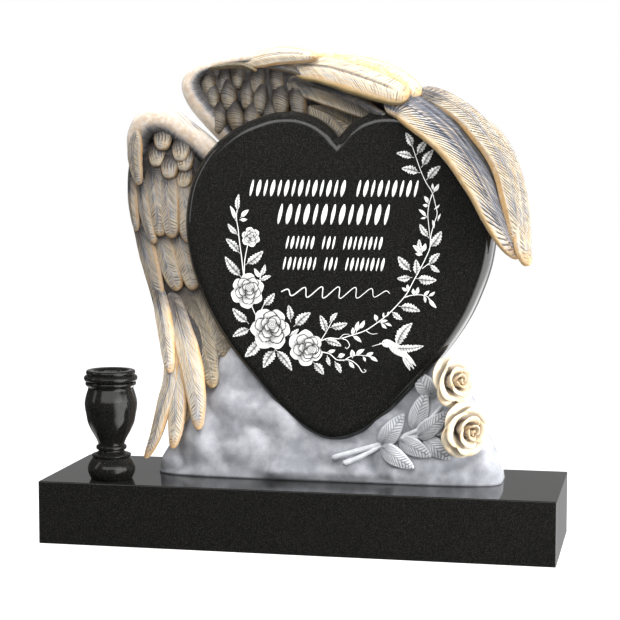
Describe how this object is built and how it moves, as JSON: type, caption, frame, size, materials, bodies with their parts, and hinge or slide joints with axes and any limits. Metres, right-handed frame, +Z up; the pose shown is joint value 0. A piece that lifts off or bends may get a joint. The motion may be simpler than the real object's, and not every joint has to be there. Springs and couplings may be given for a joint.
{
  "type": "heart headstone",
  "caption": "Black granite heart set in a carved grey rock, with two carved bird wings, roses and a flower vase on a polished base slab.",
  "frame": {"origin": "middle of the base slab's underside", "axes": "+X to the right of a reader, +Y away from the reader, +Z up"},
  "size_m": [1.22, 0.38, 1.1709],
  "materials": {
    "black_granite": "polished black granite with fine pale speckle",
    "grey_stone": "smoothly carved pale grey stone with cloudy lumps",
    "wing_patina": "carved stone with cream edges, gold-tan ridges and blue-grey recesses",
    "cream_rose": "carved stone tinted cream, with brown grooves"
  },
  "bodies": {
    "root": {"base_slab": "black_granite", "flower_vase": "black_granite", "heart_tablet": "black_granite", "rock_body": "grey_stone", "left_wing": "wing_patina", "upper_wing": "wing_patina", "rose_upper": "cream_rose", "rose_lower": "cream_rose"}
  },
  "joints": []
}
